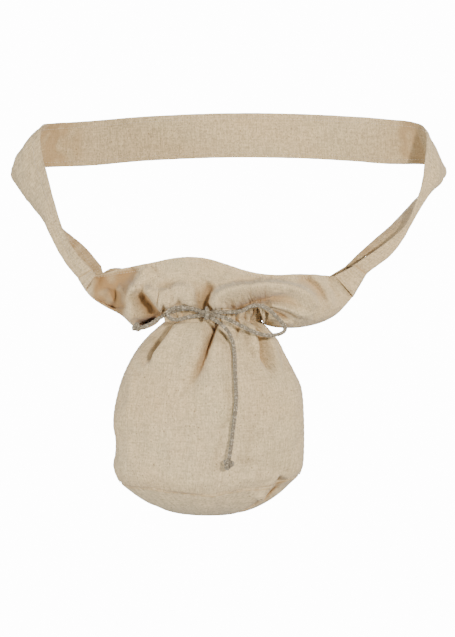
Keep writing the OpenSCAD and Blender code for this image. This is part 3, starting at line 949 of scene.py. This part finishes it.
def mouth_edges(side, u):
    """The mouth's lower boundary and its rim in the front view; the rear rim hangs lower."""
    low, top = through(LOWER, u), through(RIM, u)
    place = along_neck(low[..., 0])
    on_neck = off_the_sides(math.pi * place) * (low[..., 1] > CASING_TOP - 0.5)
    low[..., 1] += frill(place, GATHER_SEED[side]) * on_neck
    if side > 0:
        top = top + np.array([0, -3.0]) - np.stack(
            [0 * u, 5.5 * np.sin(math.pi * u) ** 2 + 3 * np.exp(-((u - 0.38) / 0.14) ** 2)
             - 8 * np.exp(-((u - 0.09) / 0.07) ** 2)], -1)
    return low, top


def quarter_round(t):
    """Rises from 0 at 0 to 1 at 1 along a quarter circle, steep at first."""
    return np.sqrt(1 - (1 - np.clip(t, 0, 1)) ** 2)


def mouth_depth(side, x, z, v, out_from_tab):
    """How far to the front or rear the mouth's cloth stands before its folds."""
    share = neck_share(x) * smooth((262 - z) / 24)
    swell = side * (13 + 19 * out_from_tab) * quarter_round(v / 0.36)
    lift = side * 13 * quarter_round(v / 0.2)
    neck = side * neck_depth(x) * (1 - smooth(v / 0.45) * (1 - share))
    y = swell * (1 - share) + lift * share + neck
    return y * (1 - 0.12 * smooth((v - 0.6) / 0.4)) + 5 * (1 - out_from_tab)


def mouth_painted_shade(x, z, v):
    """Painted shade on the front's left wing and painted shadow in the hollow under the tent."""
    wing = smooth((-86 + 0.3 * (z - 222) - x) / 9) * smooth((x + 131) / 8)
    wing = wing * smooth((1 - v) / 0.12)
    return wing * (1.4 + 0.35 * waves(x, z, 20, 52)) + 1.2 * tent_shadow(x, z)


def mouth_grid(side):
    """The flared cloth of the mouth's front or rear and its shade: u from the left tab to the
    right one, v from the neck up to the rim."""
    u, v = unit_grid(330, 150)
    low, top = mouth_edges(side, u)
    flat = low + (top - low) * (v ** 0.92)[..., None]
    x, z = flat[..., 0], flat[..., 1]
    out_from_tab = smooth(u / 0.2) * smooth((1 - u) / 0.2)
    folds = softened(front_mouth_folds(x, z) if side < 0 else rear_mouth_folds(x, z), 2, 5)
    folds = folds * (neck_share(x) + (1 - neck_share(x)) * smooth(v / 0.08))[..., None]
    folds[..., [0, 2]] *= (smooth(v / 0.12) * smooth((1 - v) / 0.15))[..., None]
    place = along_neck(x)
    above = np.maximum(z, CASING_TOP)
    tight = gathers(place, above, GATHER_SEED[side], 14.0) * neck_share(x)
    tight = tight * off_the_sides(math.pi * place)
    soft = 1.3 * waves(x, z, 60, 31 + side) + 0.4 * waves(x, z, 22, 35 + side)
    move = folds[..., 1] + tight + soft * out_from_tab * smooth(v / 0.3)
    at_tab = 1 - smooth(np.minimum(u, 1 - u) / 0.09)
    arm = 5 + (-14 if side < 0 else 11) * v
    y = (mouth_depth(side, x, z, v, out_from_tab) + side * move) * (1 - at_tab) + arm * at_tab
    hem = smooth((v - 0.9) / 0.03) * 0.5 + 0.5 * np.sin(x / 5.1) * smooth((v - 0.86) / 0.14) * 0.6
    y = y + side * hem * 0.4
    shade = fold_shade(folds[..., 1] + tight, 26, 44, 8.0)
    if side < 0:
        # Painted shade on the left wing, in the tent's hollow and under the roll.
        shade = shade + mouth_painted_shade(x, z, v) + 0.3 * roll_underside_shade(x, z)
        shade = np.clip(shade, 0, DEEPEST_SHADE)
    return np.stack([x + folds[..., 0], y, z + folds[..., 2]], -1), shade


def build_mouth(side):
    """Cloth and hem stitches of the mouth's front or rear."""
    place = "front" if side < 0 else "rear"
    grid, shade = mouth_grid(side)
    held = edge_hold(*shade.shape, 0.12, (0.04, 0.1))
    grid = settle(place + "_mouth_cloth", grid, held, 0.015, 3 if side < 0 else 4)[::-side]
    shade = shade[::-side]
    # The mouth's far face takes painted shade all over.
    cloth = sheet(place + "_mouth_cloth", grid, CANVAS, shade, lining=0 * shade + 0.6)
    k = int(grid.shape[1] * 0.9)
    up = normals(grid)[6:-6, k]
    hem = stitched(place + "_mouth_hem_stitches", place + "_hem_stitching",
                   [(grid[6:-6, k] + up * CLOTH / 2, up)], 3.4, 2.4, 0.3)
    return [stands_for(cloth, "canvas", place + "_mouth_panel"), hem]


# ---------------------------------------------------------------- the strap

HALF_STRAP = 26        # half width of the strap
CREASE_ROUND = 0.3     # how much the strap's lengthwise crease cuts its corner

# Guide points down the strap's right side, from the tab up to the corner and into the band.
RIGHT_FRONT = [(158, -4, 273), (191, 4, 296), (218, 16, 319), (232, 32, 348), (239, 44, 369),
               (243, 54, 390), (247, 74, 427), (237, 100, 441)]
RIGHT_FOLD = [(172, 10, 262), (203, 16, 290), (223, 26, 319), (240, 42, 345), (252, 54, 361),
              (263, 64, 376), (261, 82, 406), (248, 102, 418)]
RIGHT_REAR = [(152, 20, 274), (180, 30, 300), (206, 46, 322), (227, 66, 342), (245, 80, 360),
              (262, 88, 372), (271, 90, 385), (254, 104, 393)]
LEFT_FRONT = [(-127, -4, 268), (-146, 0, 289), (-161, 12, 314), (-171, 24, 342), (-181, 38, 377),
              (-189, 52, 402), (-191, 70, 432), (-178, 98, 440)]
LEFT_FOLD = [(-143, 10, 259), (-158, 16, 279), (-177, 26, 308), (-186, 36, 329), (-199, 52, 350),
             (-212, 62, 373), (-215, 76, 408), (-188, 102, 415)]
LEFT_REAR = [(-119, 18, 274), (-138, 28, 296), (-161, 44, 314), (-180, 62, 331), (-201, 78, 345),
             (-217, 86, 364), (-224, 88, 384), (-188, 104, 390)]


def band_points(offset):
    """The strap's back band, standing upright on a shallow bow; offset is up from its middle."""
    return [(x, 142 - 38 * ((x - 22) / 235) ** 2, 430.5 - 18.8 * ((x - 40) / 235) ** 2 + offset)
            for x in (205, 163, 94, 10, -72, -139)]


def strap_guides():
    """The strap's front edge, crease and rear edge, from the right tab round to the left one."""
    return [right + band_points(offset) + left[::-1]
            for right, left, offset in ((RIGHT_FRONT, LEFT_FRONT, HALF_STRAP),
                                        (RIGHT_FOLD, LEFT_FOLD, 0),
                                        (RIGHT_REAR, LEFT_REAR, -HALF_STRAP))]


def creased(front, middle, rear, rows, bend):
    """A band folded lengthwise: two arms from its middle line out to its edges.

    The crease is rounded: within bend of the middle the cloth cuts the corner between the arms.
    Returns the grid, its middle line and the place across, -1 at the front to 1 at the rear."""
    middle = middle + CREASE_ROUND / (1 - CREASE_ROUND) * (middle - (front + rear) / 2)
    c = np.linspace(-1, 1, rows)[None, :, None]
    arm = np.where(c < 0, front[:, None], rear[:, None])
    straight = middle[:, None] + np.abs(c) * (arm - middle[:, None])
    chord = (front[:, None] * (1 - c) + rear[:, None] * (1 + c)) / 2
    soften = CREASE_ROUND * np.exp(-(c / bend) ** 2)
    return straight * (1 - soften) + chord * soften, middle, c[..., 0]


def strap_grid():
    """The strap's cloth, with the run along it and the distance from its middle (0 to 1)."""
    guides = strap_guides()
    t = np.linspace(0, 1, 760)
    grid, middle, across = creased(*(through(line, t) for line in guides), 40, 0.26)
    run = run_along(middle)[:, None] + 0 * across
    width = HALF_STRAP * across + 0 * run
    ripple = 0.5 * waves(run, width * 2.2, 55, 41) + 0.22 * waves(run, width, 16, 42)
    edge = np.abs(across)
    pucker = 0.45 * np.sin(run / 2.6 + 2 * np.sin(run / 31)) * np.exp(-((edge - 0.82) / 0.1) ** 2)
    up = normals(grid)
    return grid + up * (ripple + pucker)[..., None], run, edge


def strap_painted_shade(t, run, edge):
    """How much painted shade, warm and dark, the strap's inner face takes: inside its fold and behind
    its corners.
    """
    corners = np.exp(-(np.minimum(np.abs(t - 0.343), np.abs(t - 0.660)) / 0.027) ** 2)
    ends = smooth((0.17 - np.minimum(t, 1 - t)) / 0.1)
    patchy = 1 + 0.45 * waves(run, HALF_STRAP * edge, 22, 44)
    return np.clip(0.07 + (corners + 0.6 * ends) * patchy, 0, 1)


def build_strap():
    """The whole carrying band, thicker at its hems, and the stitches along both hems."""
    grid, run, edge = strap_grid()
    thick = 1.2 + 0.5 * smooth((edge - 0.70) / 0.03) + 0 * run
    t = np.linspace(0, 1, len(grid))[:, None] + 0 * run
    sewn = np.exp(-((np.minimum(t, 1 - t) - 0.004) / 0.0013) ** 2)
    # The inner face takes the painted shade; the outer face only a dark line at each sewn end.
    cloth = sheet("strap_cloth", grid, STRAP_CLOTH, strap_painted_shade(t, run, edge), thick, 0.0, sewn)
    up = normals(grid)
    rows = []
    for share in (0.125, 0.875):
        k = int(grid.shape[1] * share)
        for face in (-1, 1):
            line = grid[:, k] + up[:, k] * face * 0.82
            rows.append((line[3:-3], face * up[3:-3, k]))
    return [stands_for(cloth, "strap_canvas", "strap"),
            stitched("strap_stitches", "strap_stitching", rows, 3.3, 2.4, 0.3)]


# ---------------------------------------------------------------- the tabs

def tab_grid(side):
    """A short folded tab from the strap's sewn end to the corner of the mouth."""
    if side > 0:
        start = [RIGHT_FRONT[0], RIGHT_FOLD[0], RIGHT_REAR[0]]
        stop = [(138, -9, 263), (159, 5, 239.5), (132, 16, 262)]
    else:
        start = [LEFT_FRONT[0], LEFT_FOLD[0], LEFT_REAR[0]]
        stop = [(-123, -9, 264), (-135, 5, 246.5), (-116, 16, 263)]
    start, stop = np.array(start, float), np.array(stop, float)
    t = np.linspace(-0.12, 1, 34)[:, None]
    return creased(*(start[k] + (stop[k] - start[k]) * t for k in range(3)), 36, 0.3)[0][::side]


def build_tabs():
    """The left and the right tab: cloth that overlaps the strap's end, and its cross stitches."""
    made = []
    for side, node in ((-1, "left_tab"), (1, "right_tab")):
        grid = tab_grid(side)
        # Painted shade on the tab's inner face; the outer face gets only a dark line where it meets the
        # strap.
        warm = np.full(grid.shape[:2], 0.55)
        from_strap = np.arange(len(grid))[::side]
        seam = 0 * warm + np.exp(-(from_strap[:, None] / 0.9) ** 2)
        cloth = sheet(node + "_cloth", grid, STRAP_CLOTH, seam, 1.5, 0.5, warm)
        made.append(stands_for(cloth, "strap_canvas", node))
        up = normals(grid)
        rows = []
        for k in (4, 9, 28):
            row = k if side > 0 else len(grid) - 1 - k
            for face in (-1, 1):
                rows.append((grid[row] + up[row] * (0.5 + face * 0.8), face * up[row]))
        made.append(stitched(node + "_stitches", node + "_stitching", rows, 3.0, 2.2, 0.3))
    return made


# ---------------------------------------------------------------- the drawstring

KNOT = np.array([-2.0, -38.5, 221.5])     # middle of the bow's knot


def neck_run(a, b, side, count):
    """Cord inside the casing between places a and b along the neck."""
    place = np.linspace(a, b, count)
    return neck_point(place, CORD_Z + 0 * place, side) * np.array([0.96, 0.68, 1])


def tail_depth(x, z):
    """Depth at which the hanging tail lies against the front of the body."""
    turn = np.arccos(np.clip((x - 0.0) / 100, -1, 1))
    p, _ = body_point(turn, np.asarray(z, float), -1)
    return p[..., 1]


def front_tail_path():
    """From the knot down the front of the body, a little clear of its cloth."""
    xs = np.array([22, 26.5, 28.2, 29, 29.6, 30.3, 28.2, 26.0, 24.2, 22.4])
    zs = np.array([201, 191, 181, 168, 150, 130, 108, 90, 76, 65])
    gap = CORD_R + 1.5 + 4.5 * smooth((185 - zs) / 40)
    ys = np.minimum(tail_depth(xs, zs) - gap, KNOT[1] - 1.5)
    lower = [tuple(p) for p in np.stack([xs, ys, zs], 1)]
    top = [tuple(KNOT + (3, 0.5, -4)), tuple(KNOT + (9, -1, -7)), tuple(KNOT + (17, -2, -12.5))]
    return top + lower


def overhand(centre, size, tilt):
    """A pulled-tight overhand knot of cord."""
    t = np.linspace(0.25, 2 * math.pi - 0.1, 60)
    x = np.sin(t) + 1.6 * np.sin(2 * t)
    y = np.cos(t) - 1.6 * np.cos(2 * t)
    z = -1.1 * np.sin(3 * t)
    p = np.stack([x, z, y], 1) * size
    c, s = math.cos(tilt), math.sin(tilt)
    p = p @ np.array([[c, 0, -s], [0, 1, 0], [s, 0, c]])
    return p + centre


def cord_piece(name, paths, seed, *nodes):
    """One piece of braided cord along one or more paths."""
    parts = []
    for k, path in enumerate(paths):
        parts += braid_parts(path, seed + k)
    return stands_for(gather_parts(name, parts, CORD), "cord", *nodes)


def build_runs():
    """The cord inside the casing: two runs at the front, one all along the rear."""
    for name, a, b, side, seed in (("left", 0.46, 0.02, FRONT, 3), ("right", 0.50, 0.98, FRONT, 5),
                                   ("rear", 0.02, 0.98, REAR, 7)):
        path = neck_run(a, b, side, 40 if side < 0 else 60)
        at_neck(cord_piece(name + "_drawstring_cord", [path], seed, name + "_drawstring_run"))


def from_knot(*steps):
    """A path given as steps away from the knot's middle."""
    return [KNOT + step for step in steps]


def build_knot():
    """Two strands through the knot and one wrapped round them."""
    turn = np.linspace(0, 2 * math.pi, 26)
    wrap = KNOT + np.stack([1.6 * np.sin(turn * 0.5) - 0.8, 4.2 * np.cos(turn),
                            5.4 * np.sin(turn)], 1)
    upper = from_knot((-8, 0, 1.9), (-3, -1.2, 1.6), (3, -1.2, 0.8), (8, 0, 1.6))
    lower = from_knot((-8, 0.5, -2.1), (-3, 1.5, -1.8), (3, 1.4, -1.8), (8, 0.3, -2.4))
    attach(cord_piece("bow_knot_cord", [wrap, upper, lower], 11, "bow_knot"), "bow")


def build_loops():
    left = from_knot((-6, 0, 2.6), (-14, -1, 5.2), (-26, -2, 6.6), (-36, -2, 5.2), (-42, -2, 0.2),
                     (-38.5, -2.5, -5.6), (-30, -2, -6.6), (-18, -1, -3.6), (-6, 0.3, -2.0))
    right = from_knot((6, 0, 2.0), (20, -1, 1.6), (37, -2, 2.4), (46, -2.5, 7), (55, -3, 8.6),
                      (63, -3, 6.8), (71, -3, 1), (80, -3, -8), (85, -3, -16.5),
                      (82.5, -3, -20.5), (76, -3, -23), (66, -3, -23.6), (53, -2.5, -20.5),
                      (36, -2, -12.5), (20, -1, -4.8), (7, 0.2, -1.6))
    for node, path, seed in (("left_loop", left, 21), ("right_loop", right, 23)):
        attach(cord_piece(node + "_cord", [path], seed, node), node)


def build_tails():
    """The long hanging tail and the short side tail, each with its end knot."""
    path = front_tail_path()
    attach(cord_piece("front_tail_cord", [path], 25, "front_tail"), "front_tail")
    end = np.array(path[-1])
    through_knot = [end, end + (-1, -1, -3), end + (-2, -1, -10)]
    knot = cord_piece("front_tail_end_knot", [overhand(end + (-0.5, -0.5, -4.5), 1.7, 0.3),
                                              through_knot], 27, "front_tail_knot")
    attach(knot, "front_tail")
    path = from_knot((-6, 2.6, 2), (-16, 3.5, 4.6), (-26, 3.5, 4.8), (-39, 3, 1.2),
                     (-46, 1, -2.4), (-52, -4, -6), (-59, -8, -10.6), (-67, -9, -14.5),
                     (-72, -9, -14.6))
    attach(cord_piece("side_tail_cord", [path], 29, "side_tail"), "side_tail")
    end = overhand(path[-1] + (-3.0, 0, -0.5), 1.4, 1.2)
    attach(cord_piece("side_tail_end_knot", [end], 31, "side_tail_knot"), "side_tail")


def build_exits():
    """The two short strands from the casing's opening to the knot."""
    paths = []
    for place, side in ((0.45, -1), (0.51, 1)):
        start = neck_point(np.array(place), np.array(CORD_Z), FRONT)
        outside, end = (-5.5, 7.5, 0.5) if side < 0 else (4.5, 7.5, -0.5), (3 * side, 2.5, 0)
        paths.append([start] + from_knot(outside, end))
    exits = cord_piece("drawstring_exit_cord", paths, 33)
    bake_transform(exits)


# ---------------------------------------------------------------- putting it on the frame


def on_strap_end(obj):
    """Bakes the object's placement into its mesh."""
    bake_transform(obj)


def at_neck(obj):
    """Bakes the object's placement into its mesh."""
    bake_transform(obj)


def body_to_neck(obj):
    """Bakes the object's placement into its mesh."""
    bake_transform(obj)


def assemble():
    for obj, side in zip(build_body(), (FRONT, REAR)):
        body_to_neck(obj)
    build_side_seams()
    build_base()
    for build in (build_casing, build_mouth):
        for side in (FRONT, REAR):
            for obj in build(side):
                at_neck(obj)
    for obj in build_strap():
        on_strap_end(obj)
    for obj in build_tabs():
        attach(obj, "pouch")
    build_runs()
    build_knot()
    build_loops()
    build_tails()
    build_exits()


# ---------------------------------------------------------------- studio

def stage_material():
    """White sweep that the camera sees as pure white and that bounces only a little light."""
    material, tree, out = shader("studio_white")
    fill(out, Base_Color=(0.25, 0.25, 0.25, 1), Roughness=0.9, Emission_Color=(1, 1, 1, 1))
    seen = add_node(tree, "LightPath").outputs["Is Camera Ray"]
    link(tree, ramp(tree, seen, 0, 1, 0.06, 14.0), out.inputs["Emission Strength"])
    return material


def build_stage():
    """A white floor that sweeps up all round into a white wall and closes overhead."""
    radius, floor, bend, wall, top = 3600.0, -600.0, 500.0, 1500.0, 4200.0
    turn = np.linspace(0, math.pi / 2, 10)
    r = np.r_[1.0, radius / 2, radius - bend + bend * np.sin(turn), radius * np.cos(turn) + 1.0]
    z = np.r_[floor, floor, floor + bend * (1 - np.cos(turn)), wall + (top - wall) * np.sin(turn)]
    a = np.linspace(0, 2 * math.pi, 65)[:, None]
    grid = np.stack(np.broadcast_arrays(r * np.cos(a), r * np.sin(a), z), -1)
    m, n = grid.shape[:2]
    room = make_mesh("studio_sweep", grid.reshape(-1, 3), grid_faces(m, n),
                     np.zeros((m * n, 2)), stage_material())


def area_light(name, place, aim, size, power, colour):
    """A square light aimed at a height on the middle of the object, in metres and watts."""
    data = bpy.data.lights.new(name, "AREA")
    data.shape = "RECTANGLE"
    data.size = data.size_y = size
    data.energy = power
    data.color = colour
    obj = bpy.data.objects.new(name, data)
    obj.location = place
    towards = Vector((0, 0, aim)) - Vector(place)
    obj.rotation_euler = towards.to_track_quat("-Z", "Y").to_euler()
    bpy.context.scene.collection.objects.link(obj)


def light_studio():
    """A small key near the lens, a soft box to each side, and a little light from above and behind."""
    cool = (0.90, 0.96, 1.0)
    area_light("key", (0.85, -2.0, 0.50), 0.15, 0.13, 58, (1.0, 0.97, 0.93))
    for name, place, size, power in (("left_box", (-1.85, -1.05, -0.20), 0.45, 60),
                                     ("right_box", (1.9, -0.9, 0.45), 0.8, 36),
                                     ("top", (0.0, -0.4, 2.0), 1.2, 16),
                                     ("back_box", (-0.5, 2.0, 0.9), 1.0, 30)):
        area_light(name, place, 0.2, size, power, cool)
    world = bpy.data.worlds.new("soft_room")
    bpy.context.scene.world = world
    world.use_nodes = True
    fill(world.node_tree.nodes["Background"], Color=(0.9, 0.96, 1, 1), Strength=0.07)


def build_camera():
    """A long lens square to the front, level with the pouch's mouth."""
    distance, tall = 2.2, 0.7007     # metres to the object, and the height that the frame holds
    centre = Vector((0.0209, 0, 0.2160))
    data = bpy.data.cameras.new("camera")
    data.sensor_fit = "VERTICAL"
    data.sensor_height = 24
    data.lens = 24 * distance / tall
    obj = bpy.data.objects.new("camera", data)
    obj.location = centre + Vector((0, -distance, 0))
    obj.rotation_euler = (math.pi / 2, 0, 0)
    bpy.context.scene.collection.objects.link(obj)
    bpy.context.scene.camera = obj


assemble()
build_stage()
light_studio()
build_camera()
